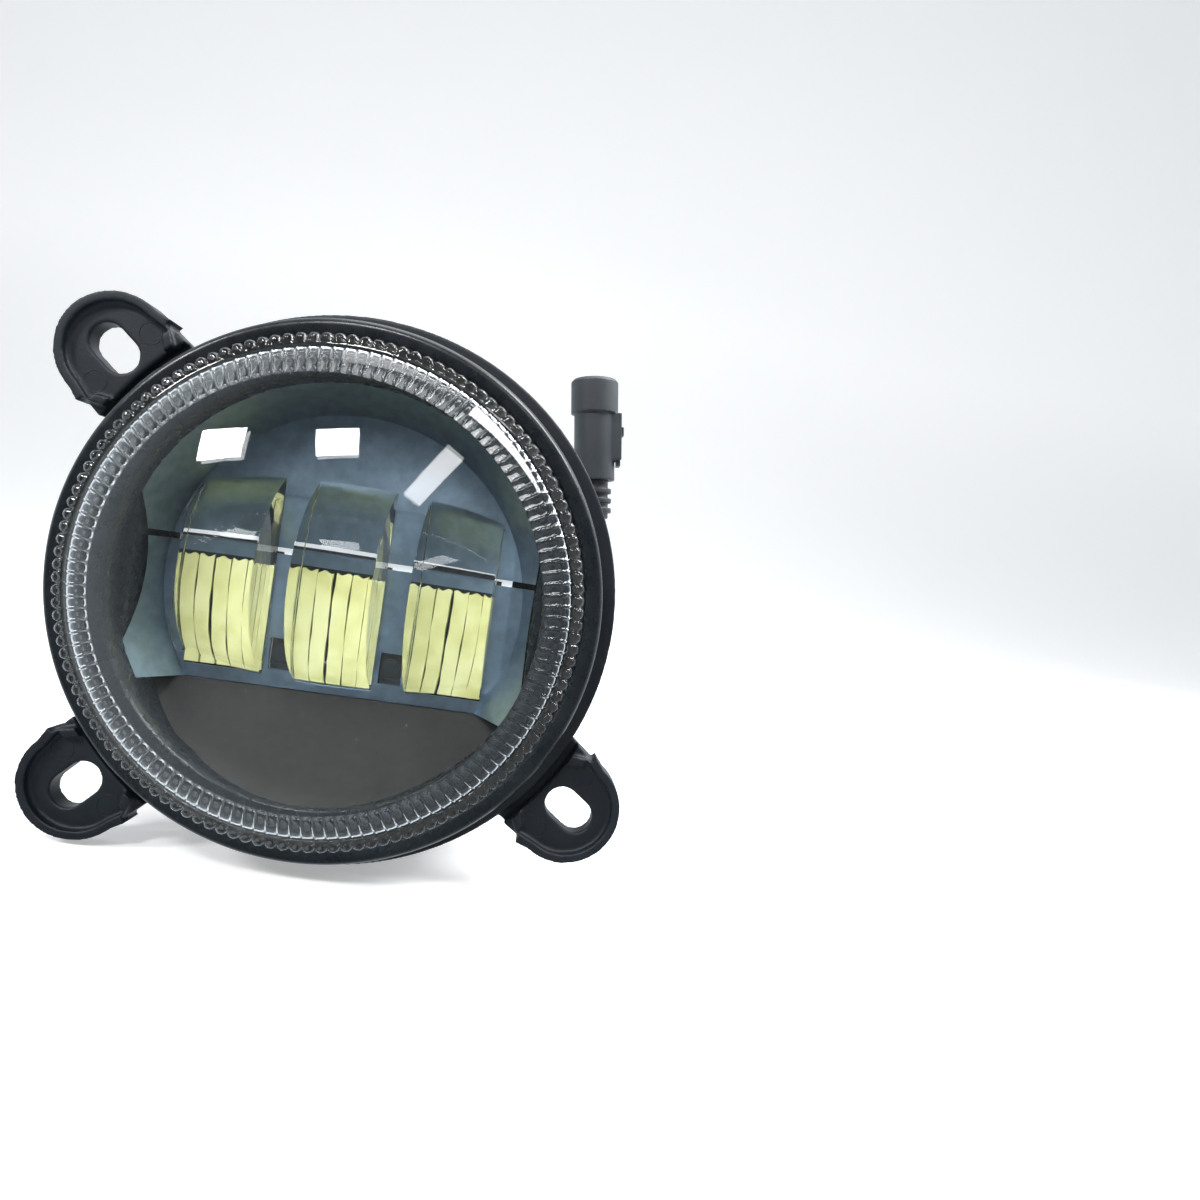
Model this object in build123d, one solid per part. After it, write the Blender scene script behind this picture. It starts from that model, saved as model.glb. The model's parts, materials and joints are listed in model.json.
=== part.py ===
from build123d import *
import math
import os

# Round 90 mm LED fog lamp that tilts in a moulded three-ear mounting ring.
# Millimetres. The lens faces -Y, +X is the right-hand side seen from the front, +Z is up.
# The origin is on the lamp's axis, in the plane of the ears' rear seat faces.

# Driving dimensions
lens_r = 45.0
lens_rim_y = -16.0
lens_apex_y = -29.0
lens_wall = 2.4
dome_r = 80.0
groove_y = -8.5
seal_t = 1.0
flange_r = 48.5
flange_front_y = -12.5
flange_back_y = -6.5
body_r = 41.5
body_flat_x = 38.0
body_wall = 3.0
floor_back_y = 16.0
rib_back_y = 20.0
rib_t = 1.3
rib_x = (-20.8, -10.4, 0.0, 10.4, 20.8)

ring_r = 51.6
ring_in_r = 45.4
ring_flat_x = 46.5
ring_in_flat_x = 40.8
cheek_back_y = 15.0
pocket_half = 6.8
ring_front_y = -3.0
ring_back_y = 27.0
ear_angles = (140.0, 224.5, 324.0)
ear_slot_r = 59.5
ear_clear_r = 53.1
ear_half = 10.3
ear_root_half = 10.6
ear_tip_x = 58.8
lip_root_x = 56.0
ear_t = 4.0
lip_t = 1.6
lip_h = 1.5
slot_w = 6.6
slot_len = 10.0

pivot_y = 6.0
pivot_shank_r = 2.0
bush_r = 3.5
running_gap = 0.05

screw_x = -16.6
screw_y = 23.0
screw_r = 2.0
shelf_top_z = -34.0
shelf_t = 2.6
lug_half_z = 3.3
lug_w = 14.5
lug_back_y = 27.0
lug_x = 18.0
nut_flange_z = -4.4
washer_t = 0.5

cell_pitch = 20.7
cell_w = 14.4
cell_x = (-cell_pitch, 0.0, cell_pitch)
barrel_r = 20.7
barrel_y = 8.2
barrel_z = 1.2
barrel_crown_r = 80.0
optic_back_y = 0.9
optic_flange_t = 1.2
mirror_y = 1.0
mirror_t = 1.0
mirror_flat_r = 33.5
mirror_r = 39.4
mirror_front_y = -11.0
slot_z = (5.6, 6.8)
board_y = (2.1, 3.7)
board_half_x = 30.8
board_z = (-16.8, 7.6)
strip_w = 2.65
strip_t = 0.9
strip_z = (-17.0, 3.2)
strip_x = (-5.6, -2.8, 0.3, 3.1, 5.8)
pad_t = 0.4
board_screw_z = -13.0
lower_edge_z = -19.6

gland_x = -31.0
vent_x = 33.5
cable_d = 5.2
plug_at = (47.6, 47.0, 24.5)
plug_lean = 8.0
plug_run = 25.0
cable_route = (
    (gland_x, 27.0, 0.0),
    (gland_x, 52.0, 0.0),
    (-22.0, 69.0, -16.0),
    (3.0, 71.0, -34.0),
    (33.0, 60.0, -28.0),
    (
        plug_at[0] + plug_run * math.sin(math.radians(plug_lean)),
        plug_at[1],
        plug_at[2] - plug_run * math.cos(math.radians(plug_lean)),
    ),
    plug_at,
)


def rod_x(r, x0, x1, y=0.0, z=0.0):
    """Cylinder along X."""
    return Pos((x0 + x1) / 2, y, z) * Rot(0, 90, 0) * Cylinder(r, abs(x1 - x0))


def rod_y(r, y0, y1, x=0.0, z=0.0):
    """Cylinder along Y."""
    return Pos(x, (y0 + y1) / 2, z) * Rot(90, 0, 0) * Cylinder(r, abs(y1 - y0))


def rod_z(r, z0, z1, x=0.0, y=0.0):
    """Cylinder along Z."""
    return Pos(x, y, (z0 + z1) / 2) * Cylinder(r, abs(z1 - z0))


def block(x0, x1, y0, y1, z0, z1):
    """Box between two corners."""
    centre = Pos((x0 + x1) / 2, (y0 + y1) / 2, (z0 + z1) / 2)
    return centre * Box(abs(x1 - x0), abs(y1 - y0), abs(z1 - z0))


def flatted(r, flat_x, y0, y1):
    """Disc along Y with two side flats at +-flat_x."""
    return rod_y(r, y0, y1) & block(-flat_x, flat_x, y0, y1, -r, r)


def turned(*edges):
    """Solid of revolution about Y from profile edges drawn as (radius, y)."""
    return revolve(make_face(Curve() + list(edges)), Axis.Y)


def turned_poly(points):
    """Solid of revolution about Y from a closed polygon of (radius, y)."""
    return revolve(make_face(Polyline(*points, close=True)), Axis.Y)


def both(shape):
    """A shape and its mirror image across the YZ plane."""
    return shape + mirror(shape, Plane.YZ)


# ---------------------------------------------------------------- bracket

def ear_blade(root_x, root_half, tip_half, depth):
    """Round-ended blade from root_x to the ear's tip, from y = 0 forward to y = -depth."""
    sides = make_face(Plane.XZ * Polyline(
        (root_x, -root_half), (ear_tip_x, -tip_half), (ear_tip_x, tip_half), (root_x, root_half), close=True))
    return extrude(sides, depth) + rod_y(tip_half, -depth, 0, ear_tip_x)


def ear():
    """One ear lying along +X, with its lip, radial slot and rear gussets."""
    tongue = ear_blade(ring_r - 5.0, ear_root_half, ear_half - 0.3, ear_t)
    lip = ear_blade(lip_root_x, ear_root_half + 0.5, ear_half, ear_t + lip_h)
    lip -= ear_blade(lip_root_x - 1, ear_root_half + 0.5 - lip_t, ear_half - lip_t, ear_t + lip_h + 1)
    tongue += lip
    half = (slot_len - slot_w) / 2
    slot = rod_y(slot_w / 2, -9, 3, ear_slot_r - half)
    slot += rod_y(slot_w / 2, -9, 3, ear_slot_r + half)
    slot += block(ear_slot_r - half, ear_slot_r + half, -9, 3, -slot_w / 2, slot_w / 2)
    wedge = Plane.XY * make_face(Polyline(
        (ring_r - 3.0, -1.0), (ring_r + 5.1, -1.0), (ring_r - 3.0, 6.0), close=True))
    gusset = Pos(0, 0, 7.6) * extrude(wedge, 2.4)
    gusset += Pos(0, 0, -10.0) * extrude(wedge, 2.4)
    return tongue + gusset - slot


def mounting_ring():
    """Moulded ring with side flats, three ears, pivot eyes and the adjuster's shelf."""
    outer = flatted(ring_r, ring_flat_x, ring_front_y, ring_back_y)
    bore = flatted(ring_in_r, ring_in_flat_x, ring_front_y - 12, ring_back_y + 3)
    ears = Part()
    for angle in ear_angles:
        ears += Rot(0, -angle, 0) * ear()
    ears -= rod_y(ear_clear_r, -9, -1.6)
    shelf = block(-28.5, -2.3, 18.9, ring_back_y, shelf_top_z - shelf_t, shelf_top_z)
    tabs = block(-28.5, -21.5, 24.6, ring_back_y, -44.0, shelf_top_z)
    tabs += block(-11.7, -2.3, 24.6, ring_back_y, -46.0, shelf_top_z)
    tabs += block(-28.5, -26.3, 18.9, ring_back_y, -40.0, shelf_top_z)
    tabs += block(-4.5, -2.3, 18.9, ring_back_y, -46.0, shelf_top_z)
    eyes = both(rod_x(6.0, ring_in_flat_x, ring_flat_x + 1.2, pivot_y))
    cheeks = rod_y(ring_r, ring_front_y, cheek_back_y)
    cheeks -= block(-ring_flat_x, ring_flat_x, ring_front_y - 1, cheek_back_y + 1, -ring_r - 1, ring_r + 1)
    cheeks -= both(block(
        ring_flat_x - 1, ring_r + 1, pivot_y - pocket_half, pivot_y + pocket_half, -pocket_half, pocket_half))
    body = outer + cheeks + ears - bore
    body += (shelf + tabs) & rod_y(ring_r, 0, ring_back_y)
    body += eyes
    body -= both(rod_x(bush_r, ring_in_flat_x - 1, ring_flat_x + 3, pivot_y))
    body -= rod_y(9.3, 12.0, ring_back_y + 1, vent_x)
    body -= rod_z(screw_r + 0.1, shelf_top_z - shelf_t - 0.2, shelf_top_z + 1, screw_x, screw_y)
    body -= rod_z(4.6, -52, shelf_top_z - shelf_t, screw_x, screw_y)
    body -= block(screw_x - 4.6, screw_x + 4.6, screw_y, ring_back_y + 1, -52, shelf_top_z - shelf_t)
    return body


def pivot_bush():
    """Flanged bush pressed into the ring's right-hand eye."""
    bush = rod_x(bush_r, ring_in_flat_x, ring_flat_x + 1.2, pivot_y)
    bush += rod_x(5.0, ring_flat_x + 1.2, ring_flat_x + 2.2, pivot_y)
    return bush - rod_x(pivot_shank_r + running_gap, 30, 60, pivot_y)


def adjuster_washer():
    """Flat washer on the shelf, the spring's lower seat."""
    disc = rod_z(4.0, shelf_top_z, shelf_top_z + washer_t, screw_x, screw_y)
    return disc - rod_z(screw_r + 0.1, -40, -30, screw_x, screw_y)


def adjuster_spring():
    """Compression spring between the washer and the nut's flange."""
    wire_r = 0.45
    coil_r = 2.75
    low = shelf_top_z + washer_t + wire_r + 0.05
    high = nut_flange_z - wire_r - 0.05
    helix = Helix(pitch=3.7, height=high - low, radius=coil_r, center=(screw_x, screw_y, low))
    start = Plane(origin=helix @ 0, z_dir=helix % 0)
    return sweep(start * Circle(wire_r), path=helix)


# ---------------------------------------------------------------- adjuster

def adjuster_screw():
    """Aiming screw, held under the shelf by its head and turned from below."""
    head_top = shelf_top_z - shelf_t - 0.1
    head_low = head_top - 3.4
    screw = rod_z(screw_r, head_top, 7.5, screw_x, screw_y)
    tip = Cone(screw_r, 1.2, 1.2, align=(Align.CENTER, Align.CENTER, Align.MIN))
    screw += Pos(screw_x, screw_y, 7.5) * tip
    screw += rod_z(4.1, head_top - 0.9, head_top, screw_x, screw_y)
    hexagon = RegularPolygon(radius=3.6, side_count=6)
    screw += Pos(screw_x, screw_y, head_low) * extrude(hexagon, head_top - head_low)
    for turn in (0, 90):
        slot = Pos(screw_x, screw_y, head_low) * Rot(0, 0, turn) * Box(4.0, 0.9, 3.0)
        screw -= slot
    return screw


# ---------------------------------------------------------------- lamp casting

def lug(x, width):
    """D-shaped tongue that stands out of the casting's back."""
    tongue = block(x - width / 2, x + width / 2, floor_back_y - 1, lug_back_y, -lug_half_z, lug_half_z)
    return fillet(tongue.edges().filter_by(Axis.Z).sort_by(Axis.Y)[-2:], 5.0)


def back_ribs():
    """Vertical cooling ribs, side ribs, round pads and half-round bosses."""
    low_y = floor_back_y - 0.5
    ribs = Part()
    for x in rib_x:
        ribs += block(x - rib_t / 2, x + rib_t / 2, low_y, rib_back_y, -body_r, body_r)
    for side in (-1, 1):
        for z in (-14.6, 14.6):
            ribs += block(side * 20.8, side * 38, low_y, rib_back_y - 0.8, z - rib_t / 2, z + rib_t / 2)
    ribs += block(20.8, 38, low_y, rib_back_y - 0.8, 24.0 - rib_t / 2, 24.0 + rib_t / 2)
    ribs += block(-28.0 - rib_t / 2, -28.0 + rib_t / 2, low_y, rib_back_y - 0.8, 14.6, 27.0)
    ribs += block(-28.0 - rib_t / 2, -28.0 + rib_t / 2, low_y, rib_back_y - 0.8, -27.0, -14.6)
    for side in (-1, 1):
        ribs += rod_y(2.7, low_y, rib_back_y + 0.4, 0.0, side * 27.0)
        for x in (-20.8, 20.8):
            beside_spring = x < 0 and side < 0
            pad_y = rib_back_y - 1.8 if beside_spring else rib_back_y + 0.4
            ribs += rod_y(2.6, low_y, pad_y, x, side * 27.0)
            ribs += rod_y(2.9, low_y, rib_back_y - 1.8, x + math.copysign(4.6, x), side * 26.4)
        for x in (-10.4, 10.4):
            ribs += rod_y(3.6, low_y, rib_back_y - 1.2, x + math.copysign(2.4, x), side * 34.2)
    return ribs & flatted(body_r - 0.6, body_flat_x, low_y, rib_back_y + 1)


def heat_block():
    """Thick step inside the cup that carries the lamp board's heat to the back."""
    front_y = board_y[1] + pad_t
    step = block(-22.5, 30.0, front_y, floor_back_y - 1, -11.5, 6.5)
    return step + block(-16.0, 16.0, front_y, floor_back_y - 1, -15.5, -11.0)


def rear_housing():
    """Die-cast body: cup, front flange with the lens groove, ribbed back, lugs and bosses."""
    back = (flange_r - 1.0, flange_back_y)
    heel = (flange_r - 0.3, flange_back_y - 0.3)
    shoulder = (flange_r, flange_back_y - 1.0)
    brow = (flange_r, flange_front_y + 1.4)
    chin = (flange_r - 0.41, flange_front_y + 0.41)
    front = (flange_r - 1.4, flange_front_y)
    root_r = 37.5
    nose = [
        Line((root_r, flange_back_y), back),
        ThreePointArc(back, heel, shoulder),
        Line(shoulder, brow),
        ThreePointArc(brow, chin, front),
        Line(front, (root_r, flange_front_y)),
        Line((root_r, flange_front_y), (root_r, flange_back_y)),
    ]
    body = flatted(body_r, body_flat_x, flange_back_y - 1, floor_back_y) + turned(*nose)
    body += back_ribs()
    recess = Part()
    for z in (-17.8, 17.8):
        pocket = rod_y(4.0, floor_back_y - 1.4, floor_back_y + 1, 0.0, z)
        recess += pocket - block(-rib_t / 2, rib_t / 2, floor_back_y - 3, rib_back_y, z - 5, z + 5)
    body -= recess
    body -= block(-31.0, 1.4, floor_back_y, rib_back_y + 2, -body_r, -29.6)
    body += rod_y(9.5, floor_back_y - 1, 17.3, gland_x) & block(-body_flat_x, 0, 0, 30, -20, 20)
    body += rod_y(7.0, floor_back_y - 1, rib_back_y, gland_x)
    body += rod_y(5.6, floor_back_y - 1, 23.0, vent_x) & block(0, body_flat_x, 0, 30, -20, 20)
    body += lug(-lug_x, lug_w) + lug(lug_x, lug_w)
    body += both(rod_x(4.5, body_flat_x - 1, ring_in_flat_x - 0.3, pivot_y))
    body -= flatted(body_r - body_wall, body_flat_x - 2.5, flange_back_y - 2, floor_back_y - body_wall)
    body -= rod_y(40.0, flange_front_y - 1, flange_back_y - 0.5)
    groove = rod_y(45.3, flange_front_y - 1, groove_y) - rod_y(42.3, flange_front_y - 2, groove_y + 1)
    body -= groove
    body += both(rod_x(4.5, 31.0, body_flat_x - 2, pivot_y))
    body -= both(rod_x(pivot_shank_r, 32.0, 60, pivot_y))
    body += heat_block()
    body -= both(rod_y(0.8, board_y[1], 9.5, cell_pitch / 2, board_screw_z))
    for x, z in ((-19.0, -24.5), (19.0, -24.5)):
        body += rod_y(2.6, 10.0, floor_back_y - 1, x, z)
        body -= rod_y(0.9, 0.0, floor_back_y - 1, x, z)
    body -= rod_y(4.6, 0, 30, gland_x)
    body -= rod_y(2.0, 0, 30, vent_x)
    body -= rod_z(3.8, -9, 9, screw_x, screw_y)
    body -= rod_z(2.3, -9, 9, lug_x, screw_y)
    return body


def pivot_screw():
    """Right-hand pivot screw: pan head, running shank and threaded end."""
    head_in = ring_flat_x + 2.5
    thread_end = ring_in_flat_x - 0.25
    screw = rod_x(pivot_shank_r - 0.05, 32.2, thread_end + 0.05, pivot_y)
    screw += rod_x(pivot_shank_r, thread_end, head_in, pivot_y)
    head = rod_x(4.1, head_in, head_in + 2.8, pivot_y)
    screw += chamfer(head.edges().filter_by(GeomType.CIRCLE).sort_by(Axis.X)[-1:], 0.9)
    socket = Pos(head_in + 2.8, pivot_y, 0) * Rot(0, 90, 0) * extrude(RegularPolygon(1.9, 6), 1.6, both=True)
    return screw - socket


def adjuster_nut():
    """Plastic nut snapped into the lug; its flange is the spring's upper seat."""
    nut = rod_z(3.78, nut_flange_z, 4.4, screw_x, screw_y)
    nut += rod_z(4.5, nut_flange_z, -lug_half_z, screw_x, screw_y)
    nut += rod_z(4.3, lug_half_z, lug_half_z + 0.6, screw_x, screw_y)
    return nut - rod_z(screw_r + 0.4, -9, 9, screw_x, screw_y)


# ---------------------------------------------------------------- optics

def dome_y(r, ball_r):
    """Y of a point at radius r on the dome's sphere of radius ball_r."""
    return lens_apex_y + dome_r - math.sqrt(ball_r ** 2 - r ** 2)


def lens():
    """Clear domed lens with a deep rim that stands in the flange's groove."""
    foot_y = groove_y - seal_t
    inner_r = dome_r - lens_wall
    edge_out = (38.0, dome_y(38.0, dome_r))
    edge_in = (37.0, dome_y(37.0, inner_r))
    profile = [
        ThreePointArc((0, lens_apex_y), (20.0, dome_y(20.0, dome_r)), edge_out),
        ThreePointArc(edge_out, (41.3, lens_rim_y - 1.5), (42.6, lens_rim_y)),
        Line((42.6, lens_rim_y), (lens_r, lens_rim_y)),
        Line((lens_r, lens_rim_y), (lens_r, foot_y)),
        Line((lens_r, foot_y), (42.6, foot_y)),
        Line((42.6, foot_y), (42.6, flange_front_y - 0.4)),
        Line((42.6, flange_front_y - 0.4), (41.6, lens_rim_y + 1.8)),
        Line((41.6, lens_rim_y + 1.8), edge_in),
        ThreePointArc(edge_in, (20.0, dome_y(20.0, inner_r)), (0, lens_apex_y + lens_wall)),
        Line((0, lens_apex_y + lens_wall), (0, lens_apex_y)),
    ]
    return turned(*profile)


def lens_seal():
    """Butyl ring in the bottom of the flange's groove."""
    ring = rod_y(45.2, groove_y - seal_t + 0.02, groove_y - 0.02)
    return ring - rod_y(42.4, groove_y - 3, groove_y + 1)


def optic_barrels():
    """Half-round bar lying along X, crowned towards the front, cut into three cells."""
    front_y = barrel_y - barrel_r
    outline = Plane.YZ * (Pos(barrel_y, barrel_z) * Circle(barrel_r))
    outline &= Plane.YZ * (Pos(barrel_y - 20.0, barrel_z) * Rectangle(40.0, 60.0))
    axis = Axis((0, front_y + barrel_crown_r, 0), (0, 0, 1))
    half_angle = 26.0
    bar = Part() + revolve(outline.rotate(axis, -half_angle), axis, 2 * half_angle)
    barrels = Part()
    for x in cell_x:
        barrels += bar & block(x - cell_w / 2, x + cell_w / 2, front_y - 5, optic_back_y, -30, 30)
    return barrels


def inner_optic():
    """Clear moulding with three thick barrels on one thin flange."""
    flange = block(-31.0, 31.0, optic_back_y - optic_flange_t, optic_back_y, -15.0, 17.0)
    return optic_barrels() + (flange & rod_y(mirror_flat_r - 0.6, -5, 5))


def cup_room():
    """Space inside the casting that the trim pieces may fill, clear of the pivot bosses."""
    room = rod_y(mirror_r, -20, -7.4) + flatted(body_r - body_wall - 0.3, body_flat_x - 2.8, -7.5, 20)
    return room - both(rod_x(4.8, 30.5, 50, pivot_y))


def reflector():
    """Whole smoked mirror: flat middle and conical surround."""
    back_y = mirror_y + mirror_t
    shell = turned_poly([
        (0, mirror_y), (mirror_flat_r, mirror_y), (mirror_r, mirror_front_y),
        (mirror_r, mirror_front_y + 1.8), (mirror_flat_r + 0.6, back_y), (0, back_y)])
    return shell & cup_room()


def upper_reflector():
    """Smoked mirror above the slot that shows the lamp board's edge."""
    return reflector() & block(-50, 50, -20, 20, slot_z[1], 50)


def lower_reflector():
    """Smoked mirror below the slot, with windows for the lamp strips and the board's screws."""
    mirror_part = reflector() & block(-50, 50, -20, 20, lower_edge_z, slot_z[0])
    for x in cell_x:
        mirror_part -= block(x - cell_w / 2, x + cell_w / 2, 0, 5, strip_z[0] - 0.3, strip_z[1] + 0.3)
    return mirror_part - both(block(8.2, 12.5, 0, 5, -16.3, -10.3))


def lower_shield():
    """Matt plate that slopes forward from the cells to the bottom of the lens."""
    rise = lens_r - 6.5 + lower_edge_z
    run = mirror_y - 0.5 - mirror_front_y
    slope = math.degrees(math.atan2(run, rise))
    plate = Pos(0, mirror_y - run / 2, lower_edge_z - rise / 2) * Rot(-slope, 0, 0) * Box(90, 1.5, 44)
    return plate & cup_room() & block(-50, 50, -20, 20, -50, lower_edge_z - 0.1)


# ---------------------------------------------------------------- light engine

def led_board():
    """Aluminium-core board that faces the front, its white top edge bare in the mirror's slot."""
    board = block(-board_half_x, board_half_x, *board_y, *board_z)
    return board - both(rod_y(1.05, 0, 5, cell_pitch / 2, board_screw_z))


def thermal_pad():
    """Heat-conducting pad between the board and the casting's step."""
    pad = block(-22.5, 30.0, board_y[1], board_y[1] + pad_t, -11.5, 6.5)
    pad += block(-16.0, 16.0, board_y[1], board_y[1] + pad_t, -15.5, -11.0)
    return pad - both(rod_y(1.05, 0, 5, cell_pitch / 2, board_screw_z))


def led_strips(x):
    """Five phosphor-coated strips of one cell, on the front of the board."""
    strips = Part()
    for offset in strip_x:
        left = x + offset - strip_w / 2
        strips += block(left, left + strip_w, board_y[0] - strip_t, board_y[0], *strip_z)
    return strips & block(-50, 50, 0, 5, board_z[0] + 0.05, 20)


def board_screws():
    """Two screws that hold the lamp board to the casting's step."""
    x = cell_pitch / 2
    screw = rod_y(0.78, board_y[0] - 0.1, 9.0, x, board_screw_z)
    screw += rod_y(1.6, board_y[0] - 1.0, board_y[0], x, board_screw_z)
    return both(screw)


def driver_board():
    """Segment-shaped circuit board that regulates the chips' current."""
    board = rod_y(36.0, 8.4, 10.0) & block(-23.5, 23.5, 8, 11, -50, -19.5)
    return board - both(rod_y(1.05, 0, 20, 19.0, -24.5))


def driver_screws():
    """Two screws that hold the driver board to the casting's posts."""
    return both(rod_y(0.88, 7.0, 12.4, 19.0, -24.5) + rod_y(1.7, 7.1, 8.4, 19.0, -24.5))


def driver_inductor():
    """Shielded drum inductor."""
    body = rod_y(4.0, 3.6, 8.4, 0.0, -27.0)
    return body - (rod_y(5.0, 4.8, 7.2, 0.0, -27.0) - rod_y(2.6, 4.8, 7.2, 0.0, -27.0))


def driver_capacitors():
    """Two can capacitors."""
    pair = Part()
    for x in (-9.5, 9.5):
        can = rod_y(2.6, 2.8, 8.4, x, -26.0)
        pair += can - (rod_y(3.0, 7.0, 7.4, x, -26.0) - rod_y(2.4, 7.0, 7.4, x, -26.0))
    return pair


def driver_chips():
    """Switching transistor, controller and diode."""
    chips = block(-16.4, -12.6, 7.1, 8.4, -31.0, -27.0)
    chips += block(-3.0, 2.0, 7.0, 8.4, -34.6, -32.2)
    chips += block(12.8, 16.2, 7.1, 8.4, -31.0, -28.4)
    return chips


def lead_wires():
    """Two insulated wires from the gland to the driver board and on to the lamp board."""
    wires = Part()
    for side in (0.0, 1.7):
        route = FilletPolyline(
            (-29.9 + side, 11.0, 0.0), (-29.9 + side, 8.4, 0.0), (-28.6 + side, 8.4, -9.0),
            (-15.0 + side, 5.0, -22.0), (-15.0 + side, 8.4, -22.0), radius=1.2)
        start = Plane(origin=route @ 0, z_dir=route % 0)
        wires += sweep(start * Circle(0.6), path=route)
    return wires


# ---------------------------------------------------------------- gland, vent, cable

def cable_gland():
    """Rubber bush in the casting's floor with a tapered strain relief."""
    plug = rod_y(4.58, 11.0, rib_back_y, gland_x)
    relief = revolve(make_face(Polyline(
        (0, rib_back_y), (5.6, rib_back_y), (5.6, 21.6), (4.6, 22.4), (4.0, 24.6), (3.5, 27.0), (0, 27.0),
        close=True)), Axis.Y)
    return plug + Pos(gland_x, 0, 0) * relief


def vent_cap():
    """Breather cap pushed over the casting's vent boss."""
    cap = rod_y(7.25, 18.6, 29.4, vent_x)
    cap = fillet(cap.edges().filter_by(GeomType.CIRCLE).sort_by(Axis.Y)[-1:], 1.2)
    cap -= rod_y(5.62, 17, 24.6, vent_x)
    cap -= rod_y(2.6, 28.7, 31, vent_x)
    return cap + rod_y(0.9, 28.0, 29.2, vent_x)


def vent_membrane():
    """Breathable disc over the vent hole."""
    return rod_y(4.6, 23.0, 23.4, vent_x)


def cable():
    """Round two-core lead from the gland to the connector's boot."""
    points = [Vector(*p) for p in cable_route]
    radii = []
    for before, here, after in zip(points, points[1:], points[2:]):
        run_in = here - before
        run_out = after - here
        turn = math.radians(run_in.get_angle(run_out))
        radii.append(0.45 * min(run_in.length, run_out.length) / math.tan(turn / 2))
    path = FilletPolyline(*points, radius=radii)
    start = Plane(origin=path @ 0, z_dir=path % 0)
    tube = sweep(start * Circle(cable_d / 2), path=path)
    print("cable radii", [round(r, 1) for r in radii])
    ratio = tube.volume / (math.pi * cable_d ** 2 / 4 * path.length)
    print("cable length", round(path.length, 1), "volume ratio", round(ratio, 4))
    return tube


def placed(shape):
    """Connector piece, built up from Z = 0 about the Z axis, put at the cable's end."""
    return Pos(*plug_at) * Rot(0, -plug_lean, 0) * shape


def connector_boot():
    """Ribbed rubber seal at the back of the connector."""
    boot = rod_z(3.5, 0, 9.5)
    for step in range(3):
        low = 1.4 + 2.4 * step
        boot += rod_z(4.3, low, low + 1.2)
    return placed(boot)


def connector_shell():
    """Connector body with its hood, side housing and socket."""
    low = 9.5
    high = 34.5
    hood_low = high - 8.5
    hood = rod_z(5.9, hood_low, high)
    shell = rod_z(5.1, low, high)
    shell += chamfer(hood.edges().filter_by(GeomType.CIRCLE).sort_by(Axis.Z)[-1:], 0.7)
    shell += block(3.0, 6.6, -3.2, 3.2, low + 5.0, hood_low)
    shell -= block(5.4, 7.0, -2.2, 2.2, low + 4.0, hood_low - 1.0)
    shell -= rod_z(4.3, high - 8.0, high + 1)
    for side in (-1, 1):
        shell -= rod_z(0.85, low - 1, high, side * 1.8)
    return placed(shell)


def connector_latch():
    """Locking tongue in the connector's side housing."""
    tongue = block(5.45, 6.4, -2.0, 2.0, 13.0, 24.6)
    tongue += block(6.3, 7.3, -1.4, 1.4, 20.6, 22.8)
    return placed(tongue)


def connector_terminals():
    """Two round contact pins."""
    pins = rod_z(0.8, 12.0, 29.4, -1.8) + rod_z(0.8, 12.0, 29.4, 1.8)
    return placed(pins)


def main():
    """Build every sub-part and write one STEP file each."""
    parts = {
        "mounting_ring": mounting_ring(),
        "pivot_bush_right": pivot_bush(),
        "pivot_bush_left": mirror(pivot_bush(), Plane.YZ),
        "adjuster_washer": adjuster_washer(),
        "adjuster_spring": adjuster_spring(),
        "adjuster_screw": adjuster_screw(),
        "rear_housing": rear_housing(),
        "pivot_screw_right": pivot_screw(),
        "pivot_screw_left": mirror(pivot_screw(), Plane.YZ),
        "adjuster_nut": adjuster_nut(),
        "lens": lens(),
        "lens_seal": lens_seal(),
        "inner_optic": inner_optic(),
        "upper_reflector": upper_reflector(),
        "lower_reflector": lower_reflector(),
        "lower_shield": lower_shield(),
        "led_board": led_board(),
        "thermal_pad": thermal_pad(),
        "led_strips_left": led_strips(cell_x[0]),
        "led_strips_centre": led_strips(cell_x[1]),
        "led_strips_right": led_strips(cell_x[2]),
        "board_screws": board_screws(),
        "driver_board": driver_board(),
        "driver_screws": driver_screws(),
        "driver_inductor": driver_inductor(),
        "driver_capacitors": driver_capacitors(),
        "driver_chips": driver_chips(),
        "lead_wires": lead_wires(),
        "cable_gland": cable_gland(),
        "vent_cap": vent_cap(),
        "vent_membrane": vent_membrane(),
        "cable": cable(),
        "connector_boot": connector_boot(),
        "connector_shell": connector_shell(),
        "connector_latch": connector_latch(),
        "connector_terminals": connector_terminals(),
    }
    os.makedirs("parts", exist_ok=True)
    for name, shape in parts.items():
        export_step(shape, f"parts/{name}.step")


main()
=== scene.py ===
"""Looks of the round LED fog lamp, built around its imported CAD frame.

Metres in the row frame: the lens faces -Y and +Z is up. Sections and profiles are in mm, times MM.
"""
import json
import math

import bmesh
import bpy
from mathutils import Matrix, Vector


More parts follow.
